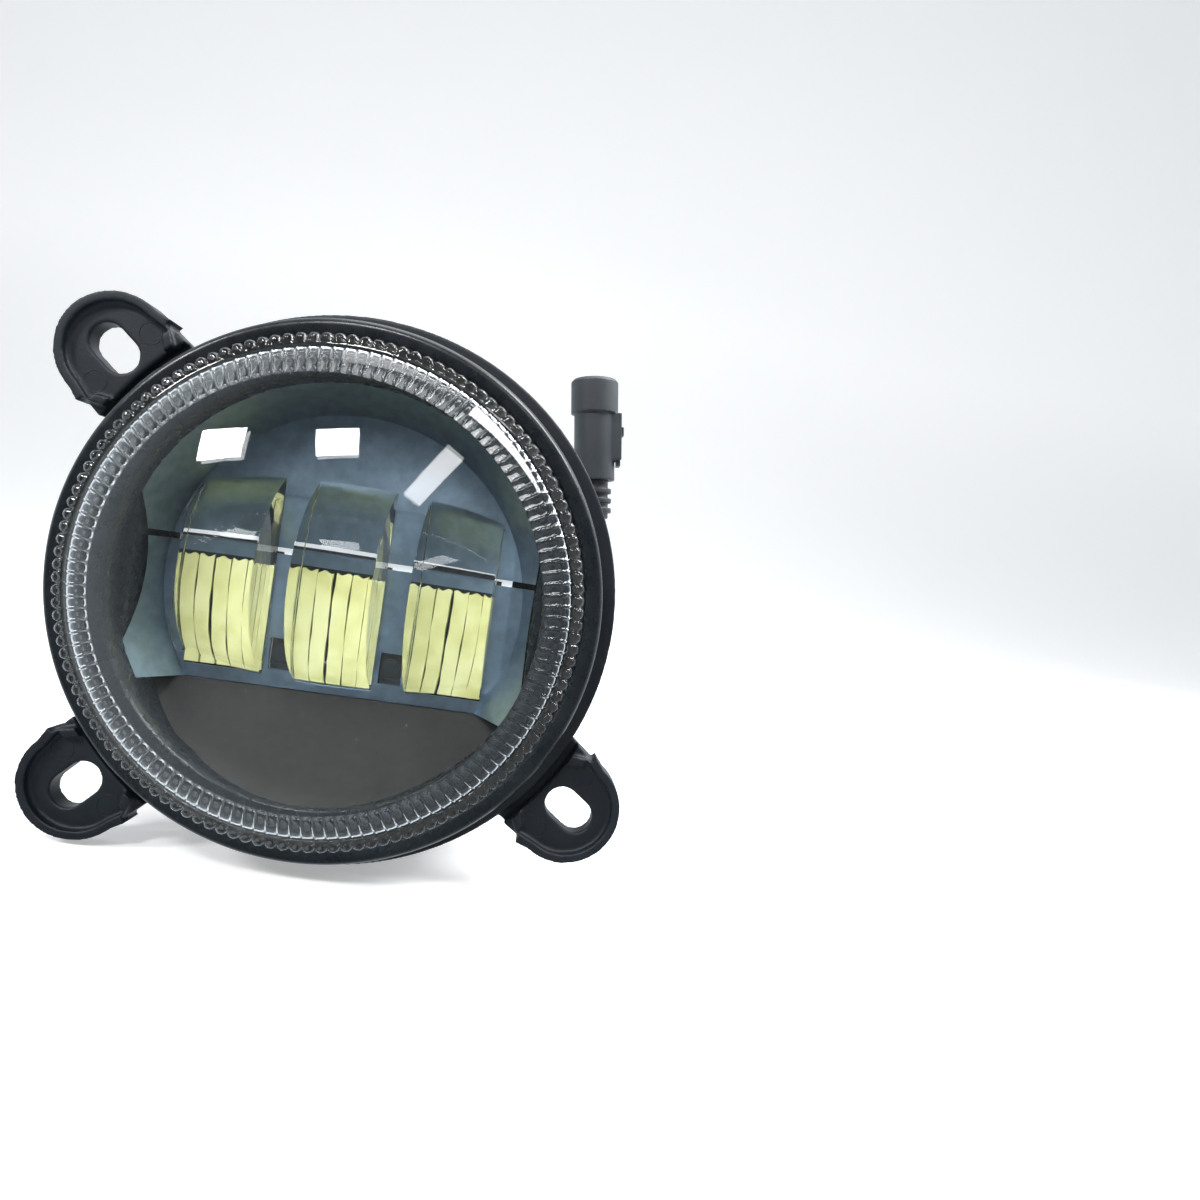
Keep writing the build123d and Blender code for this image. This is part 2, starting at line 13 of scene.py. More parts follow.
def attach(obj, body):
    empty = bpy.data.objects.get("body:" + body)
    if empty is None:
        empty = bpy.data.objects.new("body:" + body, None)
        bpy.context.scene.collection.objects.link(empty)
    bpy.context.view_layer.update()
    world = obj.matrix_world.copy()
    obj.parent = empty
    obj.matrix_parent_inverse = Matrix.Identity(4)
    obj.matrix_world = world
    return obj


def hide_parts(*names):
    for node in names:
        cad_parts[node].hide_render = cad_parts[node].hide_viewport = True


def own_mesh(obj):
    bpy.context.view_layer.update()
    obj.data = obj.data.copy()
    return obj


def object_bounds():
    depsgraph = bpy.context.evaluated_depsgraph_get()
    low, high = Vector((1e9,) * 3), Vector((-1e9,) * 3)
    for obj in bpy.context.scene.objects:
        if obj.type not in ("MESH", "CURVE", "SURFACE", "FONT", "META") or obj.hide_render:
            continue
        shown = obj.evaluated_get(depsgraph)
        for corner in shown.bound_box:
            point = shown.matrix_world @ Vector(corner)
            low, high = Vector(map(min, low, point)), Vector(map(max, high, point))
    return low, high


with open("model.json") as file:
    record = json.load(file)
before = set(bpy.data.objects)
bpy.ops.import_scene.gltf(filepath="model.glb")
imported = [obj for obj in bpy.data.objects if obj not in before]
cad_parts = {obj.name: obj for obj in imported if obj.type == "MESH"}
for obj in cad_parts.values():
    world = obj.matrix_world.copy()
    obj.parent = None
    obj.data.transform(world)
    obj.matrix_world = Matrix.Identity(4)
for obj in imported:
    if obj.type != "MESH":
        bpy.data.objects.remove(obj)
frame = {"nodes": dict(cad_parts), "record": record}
cad_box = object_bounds()
MM = 0.001
NODES = frame["nodes"]


# ------------------------------------------------------------------ camera and cord

CAMERA_AT = Vector((0.0361, -0.1592, 0.0102))
CAMERA_YAW = math.radians(-4.46)
CAMERA_PITCH = math.radians(-1.6)
CAMERA_ROLL = math.radians(8.46)
CAMERA_LENS = 24.52
SENSOR = 36.0


def make_camera():
    """Camera close in front of the lens, a little to its right, turned about its own axis."""
    data = bpy.data.cameras.new("photo_camera")
    data.lens = CAMERA_LENS
    data.sensor_width = SENSOR
    data.clip_start = 0.005
    data.clip_end = 20.0
    camera = bpy.data.objects.new("photo_camera", data)
    bpy.context.scene.collection.objects.link(camera)
    aim = Matrix.Rotation(CAMERA_YAW, 4, "Z") @ Matrix.Rotation(math.radians(90) + CAMERA_PITCH, 4, "X")
    camera.matrix_world = Matrix.Translation(CAMERA_AT) @ aim @ Matrix.Rotation(CAMERA_ROLL, 4, "Z")
    bpy.context.scene.camera = camera


CABLE_D = 0.0052
PLUG_AT = (0.0476, 0.047, 0.0245)
PLUG_LEAN = math.radians(8.0)
PLUG_RUN = 0.025
CABLE_ROUTE = (
    (-0.031, 0.027, 0.0),
    (-0.031, 0.052, 0.0),
    (-0.022, 0.069, -0.016),
    (0.003, 0.071, -0.034),
    (0.033, 0.060, -0.028),
    (PLUG_AT[0] + PLUG_RUN * math.sin(PLUG_LEAN), PLUG_AT[1], PLUG_AT[2] - PLUG_RUN * math.cos(PLUG_LEAN)),
    PLUG_AT,
)


def link(obj):
    """Put an object in the scene."""
    bpy.context.scene.collection.objects.link(obj)
    return obj


def make_cable():
    """Round cable along its route, from the gland to the connector's foot."""
    data = bpy.data.curves.new("cable_line", "CURVE")
    data.dimensions = "3D"
    data.resolution_u = 24
    data.bevel_depth = CABLE_D / 2
    data.bevel_resolution = 8
    data.use_fill_caps = True
    line = data.splines.new("NURBS")
    line.points.add(len(CABLE_ROUTE) - 1)
    for point, place in zip(line.points, CABLE_ROUTE):
        point.co = (*place, 1.0)
    line.order_u = 3
    line.use_endpoint_u = True
    return link(bpy.data.objects.new("cable_line", data))


# ------------------------------------------------------------------ materials

def new_material(name, color, roughness, metallic=0.0, **sockets):
    """Principled material with plain numbers on its sockets."""
    mat = bpy.data.materials.new(name)
    mat.use_nodes = True
    bsdf = mat.node_tree.nodes["Principled BSDF"]
    bsdf.inputs["Base Color"].default_value = (*color, 1.0)
    bsdf.inputs["Roughness"].default_value = roughness
    bsdf.inputs["Metallic"].default_value = metallic
    for socket, value in sockets.items():
        bsdf.inputs[socket.replace("_", " ")].default_value = value
    return mat


def noise(mat, scale, detail=3.0):
    """Noise texture in the piece's own frame, scale in cells per metre."""
    nodes = mat.node_tree.nodes
    coords = nodes.new("ShaderNodeTexCoord")
    tex = nodes.new("ShaderNodeTexNoise")
    tex.inputs["Scale"].default_value = scale
    tex.inputs["Detail"].default_value = detail
    mat.node_tree.links.new(coords.outputs["Object"], tex.inputs["Vector"])
    return tex.outputs["Fac"]


def ramp(mat, value, stops):
    """Colour ramp over a value; stops are (position, (r, g, b))."""
    node = mat.node_tree.nodes.new("ShaderNodeValToRGB")
    elements = node.color_ramp.elements
    for spare in range(len(stops) - 2):
        elements.new(0.5)
    for element, (position, color) in zip(elements, stops):
        element.position = position
        element.color = (*color, 1.0)
    mat.node_tree.links.new(value, node.inputs["Fac"])
    return node.outputs["Color"]


def spread(mat, value, low, high):
    """Map a 0.3 to 0.7 noise value to low..high."""
    node = mat.node_tree.nodes.new("ShaderNodeMapRange")
    node.inputs["From Min"].default_value = 0.3
    node.inputs["From Max"].default_value = 0.7
    node.inputs["To Min"].default_value = low
    node.inputs["To Max"].default_value = high
    mat.node_tree.links.new(value, node.inputs["Value"])
    return node.outputs["Result"]


def set_input(mat, socket, value):
    """Lead a value into a socket of the principled shader."""
    mat.node_tree.links.new(value, mat.node_tree.nodes["Principled BSDF"].inputs[socket])


def add_bump(mat, height, distance, strength=1.0):
    """Bump of a 0..1 height, distance in metres; more than one call stacks."""
    bsdf = mat.node_tree.nodes["Principled BSDF"]
    bump = mat.node_tree.nodes.new("ShaderNodeBump")
    bump.inputs["Distance"].default_value = distance
    bump.inputs["Strength"].default_value = strength
    mat.node_tree.links.new(height, bump.inputs["Height"])
    if bsdf.inputs["Normal"].is_linked:
        mat.node_tree.links.new(bsdf.inputs["Normal"].links[0].from_socket, bump.inputs["Normal"])
    mat.node_tree.links.new(bump.outputs["Normal"], bsdf.inputs["Normal"])


def mottled(mat, low, high, scale):
    """Slow colour variation between two tones."""
    set_input(mat, "Base Color", ramp(mat, noise(mat, scale, 4.0), ((0.35, low), (0.65, high))))


def moulded_plastic(name, low, high, roughness, grain=2600.0, depth=0.00004):
    """Moulded skin with slow changes of tone and gloss and a fine grain."""
    mat = new_material(name, low, roughness)
    mottled(mat, low, high, 90.0)
    set_input(mat, "Roughness", spread(mat, noise(mat, 260.0), roughness - 0.06, roughness + 0.06))
    add_bump(mat, noise(mat, grain, 2.0), depth, 0.6)
    return mat


def grained_plastic(name, low, high, roughness):
    """Dark moulding with a spark-eroded grain: fine pale specks over a matt skin."""
    mat = moulded_plastic(name, low, high, roughness, 3400.0, 0.00005)
    mat.node_tree.nodes["Principled BSDF"].inputs["Specular IOR Level"].default_value = 0.36
    add_bump(mat, noise(mat, 1500.0, 3.0), 0.00003, 0.5)
    return mat


def dusty_plastic(name, low, high, roughness):
    """Warm dark satin moulding with a few pale dust specks and hairline scratches."""
    mat = new_material(name, low, roughness, 0.0)
    mat.node_tree.nodes["Principled BSDF"].inputs["Specular IOR Level"].default_value = 0.12
    specks = noise(mat, 700.0, 2.0)
    pale = tuple(min(1.0, c * 7.0) for c in high)
    set_input(mat, "Base Color", ramp(mat, specks, ((0.3, low), (0.70, high), (0.765, high), (0.80, pale))))
    set_input(mat, "Roughness", spread(mat, noise(mat, 200.0), roughness - 0.06, roughness + 0.06))
    add_bump(mat, noise(mat, 1500.0, 2.0), 0.000004, 0.2)
    return mat


def phosphor_coat(name):
    """Yellow phosphor with slightly paler and deeper patches."""
    mat = new_material(name, (0.6, 0.6, 0.28), 0.4)
    patches = ((0.36, (0.56, 0.54, 0.21)), (0.50, (0.65, 0.64, 0.27)), (0.64, (0.71, 0.70, 0.34)))
    set_input(mat, "Base Color", ramp(mat, noise(mat, 160.0, 2.0), patches))
    set_input(mat, "Roughness", spread(mat, noise(mat, 400.0), 0.34, 0.46))
    add_bump(mat, noise(mat, 2600.0, 2.0), 0.00003, 0.5)
    return mat


def powder_coat(name):
    """Gloss black coat with a faint orange peel on the die casting."""
    low = (0.0045, 0.0065, 0.0085)
    high = (0.0075, 0.0100, 0.0125)
    mat = new_material(name, low, 0.3, 0.0)
    mat.node_tree.nodes["Principled BSDF"].inputs["Specular IOR Level"].default_value = 0.35
    mottled(mat, low, high, 120.0)
    set_input(mat, "Roughness", spread(mat, noise(mat, 400.0), 0.22, 0.34))
    add_bump(mat, noise(mat, 900.0, 2.0), 0.00003, 0.5)
    return mat


def metal(name, color, roughness, scratch=1800.0):
    """Bare metal with uneven tone and gloss."""
    mat = new_material(name, color, roughness, 1.0)
    dark = tuple(c * 0.8 for c in color)
    mottled(mat, dark, color, 500.0)
    set_input(mat, "Roughness", spread(mat, noise(mat, scratch), roughness - 0.06, roughness + 0.1))
    return mat


def clear_glass(name):
    """Polished clear plastic; rays from lamps pass so that the inside is lit."""
    mat = new_material(name, (0.97, 0.985, 0.99), 0.0, 0.0, IOR=1.49)
    mat.node_tree.nodes["Principled BSDF"].inputs["Transmission Weight"].default_value = 1.0
    nodes = mat.node_tree.nodes
    links = mat.node_tree.links
    path = nodes.new("ShaderNodeLightPath")
    through = nodes.new("ShaderNodeBsdfTransparent")
    through.inputs["Color"].default_value = (0.92, 0.94, 0.95, 1.0)
    mix = nodes.new("ShaderNodeMixShader")
    links.new(path.outputs["Is Shadow Ray"], mix.inputs["Fac"])
    links.new(nodes["Principled BSDF"].outputs["BSDF"], mix.inputs[1])
    links.new(through.outputs["BSDF"], mix.inputs[2])
    links.new(mix.outputs["Shader"], nodes["Material Output"].inputs["Surface"])
    return mat


def make_materials():
    """One material for each slot of the record, by its name."""
    mats = {
        "ring_plastic": grained_plastic(
            "ring_plastic", (0.0055, 0.0088, 0.0132), (0.0080, 0.0122, 0.0175), 0.50),
        "cast_black": powder_coat("cast_black"),
        "lens_clear": clear_glass("lens_clear"),
        "optic_clear": clear_glass("optic_clear"),
        "zinc_steel": metal("zinc_steel", (0.78, 0.77, 0.72), 0.24),
        "spring_steel": metal("spring_steel", (0.86, 0.82, 0.70), 0.26),
        "bush_brass": metal("bush_brass", (0.72, 0.55, 0.28), 0.28),
        "black_steel": moulded_plastic("black_steel", (0.015, 0.015, 0.017), (0.03, 0.03, 0.032), 0.32),
        "nut_plastic": moulded_plastic("nut_plastic", (0.70, 0.67, 0.58), (0.76, 0.73, 0.65), 0.42),
        "seal_rubber": moulded_plastic("seal_rubber", (0.010, 0.010, 0.010), (0.016, 0.016, 0.016), 0.5),
        "dark_mirror": metal("dark_mirror", (0.190, 0.255, 0.325), 0.42, 60.0),
        "shield_grey": dusty_plastic(
            "shield_grey", (0.0150, 0.0142, 0.0128), (0.0190, 0.0180, 0.0162), 0.55),
        "board_aluminium": moulded_plastic("board_aluminium", (0.70, 0.72, 0.72), (0.80, 0.82, 0.82), 0.35),
        "pad_grey": moulded_plastic("pad_grey", (0.40, 0.42, 0.44), (0.5, 0.52, 0.54), 0.6),
        "phosphor": phosphor_coat("phosphor"),
        "board_green": moulded_plastic("board_green", (0.012, 0.10, 0.045), (0.02, 0.14, 0.06), 0.35),
        "ferrite": moulded_plastic("ferrite", (0.05, 0.05, 0.055), (0.08, 0.08, 0.085), 0.45),
        "can_aluminium": metal("can_aluminium", (0.75, 0.76, 0.78), 0.3),
        "chip_black": moulded_plastic("chip_black", (0.015, 0.015, 0.015), (0.025, 0.025, 0.025), 0.4),
        "wire_red": moulded_plastic("wire_red", (0.40, 0.02, 0.015), (0.5, 0.03, 0.02), 0.35),
        "gland_rubber": moulded_plastic("gland_rubber", (0.012, 0.015, 0.018), (0.02, 0.024, 0.028), 0.42),
        "cap_black": moulded_plastic("cap_black", (0.016, 0.021, 0.026), (0.026, 0.032, 0.038), 0.36),
        "membrane_white": moulded_plastic("membrane_white", (0.75, 0.75, 0.72), (0.8, 0.8, 0.78), 0.7),
        "cable_jacket": moulded_plastic(
            "cable_jacket", (0.014, 0.017, 0.020), (0.022, 0.026, 0.030), 0.36, 1800.0, 0.00002),
        "boot_rubber": moulded_plastic("boot_rubber", (0.014, 0.017, 0.020), (0.022, 0.025, 0.029), 0.5),
        "connector_plastic": moulded_plastic(
            "connector_plastic", (0.019, 0.024, 0.030), (0.027, 0.033, 0.040), 0.5),
        "pin_brass": metal("pin_brass", (0.80, 0.70, 0.42), 0.25),
    }
    # painted light: the white board glows so that its edge reads bright behind the clear optic
    painted_glow(mats["board_aluminium"], (1.0, 1.0, 1.0), 0.6)
    return mats


def painted_glow(mat, color, strength):
    """Painted light: a faint glow given to a white part that is no lamp, standing in for the light that
    barely reaches it deep behind clear plastic.
    """
    bsdf = mat.node_tree.nodes["Principled BSDF"]
    bsdf.inputs["Emission Color"].default_value = (*color, 1.0)
    bsdf.inputs["Emission Strength"].default_value = strength


def dress_cad(mats):
    """Give every CAD node its slot's material."""
    for part in frame["record"]["subparts"]:
        mesh = NODES[part["node"]].data
        mesh.materials.clear()
        mesh.materials.append(mats[part["material_slot"]])


# ------------------------------------------------------------------ pieces

def finish_piece(obj, mats, slot_name, body, *replaced):
    """Give a piece its material, the body it rides on and the nodes it replaces."""
    obj.data.materials.clear()
    obj.data.materials.append(mats[slot_name])
    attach(obj, body)
    if replaced:
        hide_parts(*replaced)
    return obj


def applied(obj):
    """Swap an object's mesh for the one its modifiers make."""
    graph = bpy.context.evaluated_depsgraph_get()
    made = bpy.data.meshes.new_from_object(obj.evaluated_get(graph))
    made.name = obj.name
    obj.modifiers.clear()
    obj.data = made
    return obj


def from_bmesh(build, name, smooth=True):
    """Turn a finished bmesh into an object, with its normals outward."""
    bmesh.ops.recalc_face_normals(build, faces=build.faces)
    mesh = bpy.data.meshes.new(name)
    build.to_mesh(mesh)
    build.free()
    if smooth:
        mesh.shade_smooth()
    return link(bpy.data.objects.new(name, mesh))


def bevelled(obj, width_mm, segments=2, angle=35.0):
    """Round the sharp edges and keep the flats flat."""
    bevel = obj.modifiers.new("bevel", "BEVEL")
    bevel.width = width_mm * MM
    bevel.segments = segments
    bevel.limit_method = "ANGLE"
    bevel.angle_limit = math.radians(angle)
    bevel.harden_normals = True
    return applied(obj)


def refined(node, name, voxel_mm, rounds, face_limit=190000):
    """Rounded copy of a CAD node: voxel remesh, then smoothing that softens its edges."""
    mesh = NODES[node].data.copy()
    mesh.name = name
    obj = link(bpy.data.objects.new(name, mesh))
    remesh = obj.modifiers.new("remesh", "REMESH")
    remesh.mode = "VOXEL"
    remesh.voxel_size = voxel_mm * MM
    remesh.adaptivity = 0.0
    smooth = obj.modifiers.new("smooth", "SMOOTH")
    smooth.factor = 0.5
    smooth.iterations = rounds
    applied(obj)
    triangles = 2 * len(obj.data.polygons)
    if triangles > face_limit:
        thin = obj.modifiers.new("thin", "DECIMATE")
        thin.ratio = face_limit / triangles
        applied(obj)
    obj.data.shade_smooth()
    return obj


def lathe(name, profile, segments, shape=None):
    """Closed profile of (radius, y) in mm turned about Y; shape may move each point by its angle."""
    build = bmesh.new()
    rings = []
    for index, (r, y) in enumerate(profile):
        if r == 0.0:
            rings.append([build.verts.new((0, y * MM, 0))])
            continue
        ring = []
        for step in range(segments):
            angle = 2 * math.pi * step / segments
            here_r, here_y = shape(index, r, y, angle) if shape else (r, y)
            place = (here_r * MM * math.cos(angle), here_y * MM, here_r * MM * math.sin(angle))
            ring.append(build.verts.new(place))
        rings.append(ring)
    closed = len(rings[0]) > 1
    pairs = list(zip(rings, rings[1:])) + ([(rings[-1], rings[0])] if closed else [])
    for low, high in pairs:
        for step in range(segments):
            after = (step + 1) % segments
            below = [low[step % len(low)], low[after % len(low)]]
            above = [high[after % len(high)], high[step % len(high)]]
            corners = list(dict.fromkeys(below + above))
            if len(corners) > 2:
                build.faces.new(corners)
    return from_bmesh(build, name)


def arc(centre, radius, start_deg, end_deg, steps):
    """Points of a circular arc, as (radius, y)."""
    points = []
    for step in range(steps + 1):
        angle = math.radians(start_deg + (end_deg - start_deg) * step / steps)
        points.append((centre[0] + radius * math.cos(angle), centre[1] + radius * math.sin(angle)))
    return points


# ------------------------------------------------------------------ lens

LENS_R = 45.0
RIM_Y = -16.0
FOOT_Y = -9.5
APEX_Y = -29.0
DOME_R = 80.0
LENS_WALL = 2.4
DOME_EDGE_R = 38.0
BEADS = 128
BEAD_DEPTH = (0.6, 0.7)
FLUTE_DEPTH = (0.35, 0.6)


def dome_y(r, ball_r):
    """Height of a dome about the lens's centre of curvature, at radius r."""
    return APEX_Y + DOME_R - math.sqrt(ball_r ** 2 - r ** 2)


def bead(angle, count=BEADS):
    """0 in the cusp between two beads, 1 on the crest of one."""
    t = 2.0 * ((angle * count / (2 * math.pi)) % 1.0) - 1.0
    return math.sqrt(max(0.0, 1.0 - t * t))


def lens_profile():
    """Lens section in mm, with a tag for each point: which stretches carry beads or flutes."""
    points = [(0.0, APEX_Y, "dome")]
    for step in range(1, 15):
        r = DOME_EDGE_R * step / 14
        points.append((r, dome_y(r, DOME_R), "dome"))
    shoulder = ((39.3, -18.55), (40.4, -17.75), (41.3, -17.1), (42.0, -16.55), (42.6, -16.2))
    points += [(r, y, "shoulder") for r, y in shoulder]
    points += [(43.0, RIM_Y, "rim"), (43.3, RIM_Y, "rim"), (43.6, RIM_Y, "beads"), (44.1, RIM_Y, "beads")]
    points += [(44.55, RIM_Y + 0.15, "beads"), (44.85, RIM_Y + 0.45, "beads")]
    points += [(LENS_R, RIM_Y + 0.95, "beads")]
    points += [(LENS_R, -14.0, "beads"), (LENS_R, -11.0, "beads"), (LENS_R, FOOT_Y, "foot")]
    points += [(42.6, FOOT_Y, "foot")]
    inner = ((42.6, -11.2), (42.6, -12.9), (42.2, -13.5), (41.6, -14.2))
    inner += ((40.6, -14.9), (39.4, -15.7), (38.2, -16.5))
    points += [(r, y, "flutes") for r, y in inner]
    points += [(37.2, dome_y(37.2, DOME_R - LENS_WALL), "edge")]
    for step in range(13, 0, -1):
        r = 37.0 * step / 13
        points.append((r, dome_y(r, DOME_R - LENS_WALL), "dome"))
    points.append((0.0, APEX_Y + LENS_WALL, "dome"))
    return points


def make_lens():
    """Domed lens with a beaded skirt and a fluted inner shoulder."""
    tagged = lens_profile()

    def shape(index, r, y, angle):
        tag = tagged[index][2]
        if tag == "beads":
            cusp = 1.0 - bead(angle)
            return r - BEAD_DEPTH[0] * cusp, y + BEAD_DEPTH[1] * cusp
        if tag == "flutes":
            dip = 0.5 * bead(angle)
            return r - FLUTE_DEPTH[0] * dip, y + FLUTE_DEPTH[1] * dip
        return r, y

    return lathe("lens_shell", [(r, y) for r, y, tag in tagged], BEADS * 8, shape)


# ------------------------------------------------------------------ casting and ring

FLANGE_R = 48.5
FLANGE_FRONT_Y = -12.5
FLANGE_BACK_Y = -6.5


def make_flange():
    """Glossy rolled front flange of the casting with its lens groove."""
    profile = [(37.6, -12.4), (37.9, FLANGE_FRONT_Y), (42.1, FLANGE_FRONT_Y)]
    profile += [(42.3, -12.3), (42.3, -8.6), (45.3, -8.6), (45.3, -12.2)]
    profile += [(45.5, -12.45), (45.8, FLANGE_FRONT_Y)]
    profile += arc((FLANGE_R - 1.4, FLANGE_FRONT_Y + 1.4), 1.4, -90, 0, 10)
    profile += arc((FLANGE_R - 1.0, FLANGE_BACK_Y - 1.0), 1.0, 0, 90, 8)
    profile += [(44.0, FLANGE_BACK_Y), (41.0, FLANGE_BACK_Y), (37.9, -6.6), (37.6, -6.9)]
    return lathe("flange", profile, 288)


def tuck_flange(obj):
    """Draw the casting's own flange a little inward, so that it hides inside the turned one."""
    flange_back_y, flange_in_r = -6.2, 37.0
    middle_y, squeeze = -9.2, 0.92
    edge_r, shrink = 46.0, 0.35
    for vertex in obj.data.vertices:
        x, y, z = vertex.co
        r = math.hypot(x, z) / MM
        if y / MM < flange_back_y and r > flange_in_r:
            vertex.co.y = (middle_y + (y / MM - middle_y) * squeeze) * MM
            if r > edge_r:
                vertex.co.x = x * (1.0 - shrink / r)
                vertex.co.z = z * (1.0 - shrink / r)
    return obj


EARS = (("upper_left", 140.0), ("lower_left", 224.5), ("lower_right", 324.0))
MARK_OUT = 57.2
MARK_Y = -4.0
MARK_SIDE = 6.6
MARK_R = 2.0
MARK_RISE = (0.09, 0.06)
MARK_STEPS = 48
MARK_SIDES = 6


def add_mark(build, centre, turn):
    """One thin raised circle on an ear's front face."""
    rows = []
    for step in range(MARK_STEPS):
        around = 2 * math.pi * step / MARK_STEPS
        row = []
        for inner in range(MARK_SIDES):
            tube = 2 * math.pi * inner / MARK_SIDES
            r = (MARK_R + MARK_RISE[0] * math.cos(tube)) * MM
            rise = MARK_RISE[1] * MM * math.sin(tube)
            place = centre + Vector((r * math.cos(around), rise, r * math.sin(around)))
            row.append(build.verts.new(turn @ place))
        rows.append(row)
    for step in range(MARK_STEPS):
        here = rows[step]
        after = rows[(step + 1) % MARK_STEPS]
        for inner in range(MARK_SIDES):
            beside = (inner + 1) % MARK_SIDES
            build.faces.new((here[inner], after[inner], after[beside], here[beside]))


def make_ear_marks(mats):
    """Round ejector-pin marks beside the slots on the ears' front faces."""
    for name, angle in EARS:
        turn = Matrix.Rotation(-math.radians(angle), 4, "Y")
        build = bmesh.new()
        for side in (-1, 1):
            add_mark(build, Vector((MARK_OUT * MM, MARK_Y * MM, side * MARK_SIDE * MM)), turn)
        piece = from_bmesh(build, "ejector_marks_" + name)
        finish_piece(piece, mats, "ring_plastic", "bracket")


# ------------------------------------------------------------------ light engine

CELL_W = 14.4
CELL_PITCH = 20.7
BARREL_R = 20.7
BARREL_Y = 8.2
BARREL_Z = 1.2
CROWN_R = 80.0
OPTIC_BACK_Y = 0.9
OPTIC_LOW_Z = -15.0
OPTIC_HIGH_Z = 17.0
WEB_T = 1.2


def barrel_front(x, angle):
    """Point on the crowned barrel's front, angle from straight ahead (radians, up is positive)."""
    flat_y = BARREL_Y - BARREL_R * math.cos(angle)
    z = BARREL_Z + BARREL_R * math.sin(angle)
    crown_y = BARREL_Y - BARREL_R + CROWN_R
    reach = crown_y - flat_y
    y = crown_y - math.sqrt(reach ** 2 - x ** 2)
    return Vector((x, y, z)) * MM


def barrel_limit(x):
    """Angle at which the barrel's front meets the optic's flat back."""
    low, high = 0.3, 1.6
    for trial in range(40):
        middle = (low + high) / 2
        if barrel_front(x, middle).y < OPTIC_BACK_Y * MM:
            low = middle
        else:
            high = middle
    return low


def make_barrel(name, centre):
    """One thick clear barrel with a flat back and rounded edges."""
    across, along = 20, 40
    build = bmesh.new()
    front = []
    for i in range(across + 1):
        x = centre + CELL_W * (i / across - 0.5)
        limit = barrel_limit(x)
        angles = [limit * (2 * j / along - 1) for j in range(along + 1)]
        front.append([build.verts.new(barrel_front(x, angle)) for angle in angles])
    for left, right in zip(front, front[1:]):
        for j in range(along):
            build.faces.new((left[j], left[j + 1], right[j + 1], right[j]))
    build.faces.new(front[0])
    build.faces.new(front[-1])
    bottom = [column[0] for column in front]
    top = [column[-1] for column in front]
    build.faces.new(bottom + top[::-1])
    obj = from_bmesh(build, name)
    return bevelled(obj, 0.22, 2, 30.0)


def make_barrels(mats):
    """Three barrels and the thin webs that join them."""
    for name, centre in (("left", -CELL_PITCH), ("centre", 0.0), ("right", CELL_PITCH)):
        barrel = make_barrel("optic_barrel_" + name, centre)
        finish_piece(barrel, mats, "optic_clear", "lamp", "inner_optic")
    half = CELL_W / 2 + 0.03
    near, far = half, CELL_PITCH - half
    edge = CELL_PITCH + half
    low, high = OPTIC_LOW_Z, OPTIC_HIGH_Z
    between = [(near, low), (far, low), (far, high), (near, high)]
    outside = [(edge, low), (29.2, -14.9), (30.4, -12.6), (31.0, -9.8), (31.0, 9.8)]
    outside += [(30.4, 12.6), (29.2, 15.2), (edge, 16.6)]
    for name, side in (("left", -1), ("right", 1)):
        web = make_web("optic_web_" + name, between, side)
        finish_piece(web, mats, "optic_clear", "lamp", "inner_optic")
        wing = make_web("optic_wing_" + name, outside, side)
        finish_piece(wing, mats, "optic_clear", "lamp", "inner_optic")


def make_web(name, corners, side):
    """Flat clear plate in front of the mirror, from its outline in X and Z."""
    build = bmesh.new()
    front = [build.verts.new((side * x * MM, (OPTIC_BACK_Y - WEB_T) * MM, z * MM)) for x, z in corners]
    back = [build.verts.new((side * x * MM, OPTIC_BACK_Y * MM, z * MM)) for x, z in corners]
    build.faces.new(front)
    build.faces.new(back[::-1])
    count = len(corners)
    for index in range(count):
        after = (index + 1) % count
        build.faces.new((front[index], front[after], back[after], back[index]))
    return bevelled(from_bmesh(build, name), 0.2, 2, 40.0)


STRIP_X = (-5.6, -2.8, 0.3, 3.1, 5.8)
STRIP_W = 2.65
STRIP_LOW_Z = -16.7
STRIP_HIGH_Z = 3.0
STRIP_FRONT_Y = 1.2
BOARD_FRONT_Y = 2.1
STRIP_GAP = 0.04
RAGGED = 0.22
# height span of the black panels of painted shade on the board
SHADE_PANEL_LOW_Z = -16.7
SHADE_PANEL_HIGH_Z = 6.0


def strip_wave(z, number, phase):
    """Sideways waver of a strip at height z, strongest in a cell's second and third strips."""
    wave = 0.10 * math.sin(0.42 * z + phase + 1.7 * number) + 0.04 * math.sin(1.3 * z + 3.0 * number)
    return wave * (1.0 if number in (1, 2) else 0.45)


def make_strips(mats):
    """Phosphor strips with slightly wavy sides and a ragged top edge."""
    rows, columns = 36, 6
    cells = (("left", -CELL_PITCH, 0.0), ("centre", 0.0, 2.1), ("right", CELL_PITCH, 4.4))
    for name, centre, phase in cells:
        build = bmesh.new()
        for number, offset in enumerate(STRIP_X):
            grid = []
            for row in range(rows + 1):
                z = STRIP_LOW_Z + (STRIP_HIGH_Z - STRIP_LOW_Z) * row / rows
                line = []
                for column in range(columns + 1):
                    side = column / columns - 0.5
                    x = centre + offset + (STRIP_W - STRIP_GAP) * side + strip_wave(z, number, phase)
                    lift = 0.0
                    if row == rows:
                        lift = RAGGED * math.sin(5.1 * column + 2.3 * number + phase)
                    line.append(build.verts.new((x * MM, STRIP_FRONT_Y * MM, (z + lift) * MM)))
                grid.append(line)
            for low, high in zip(grid, grid[1:]):
                for column in range(columns):
                    build.faces.new((low[column], low[column + 1], high[column + 1], high[column]))
        piece = from_bmesh(build, "phosphor_" + name, smooth=False)
        thick = piece.modifiers.new("thick", "SOLIDIFY")
        thick.thickness = (BOARD_FRONT_Y - STRIP_FRONT_Y) * MM
        thick.offset = -1.0
        applied(piece)
        finish_piece(piece, mats, "phosphor", "lamp", "led_strips_" + name)


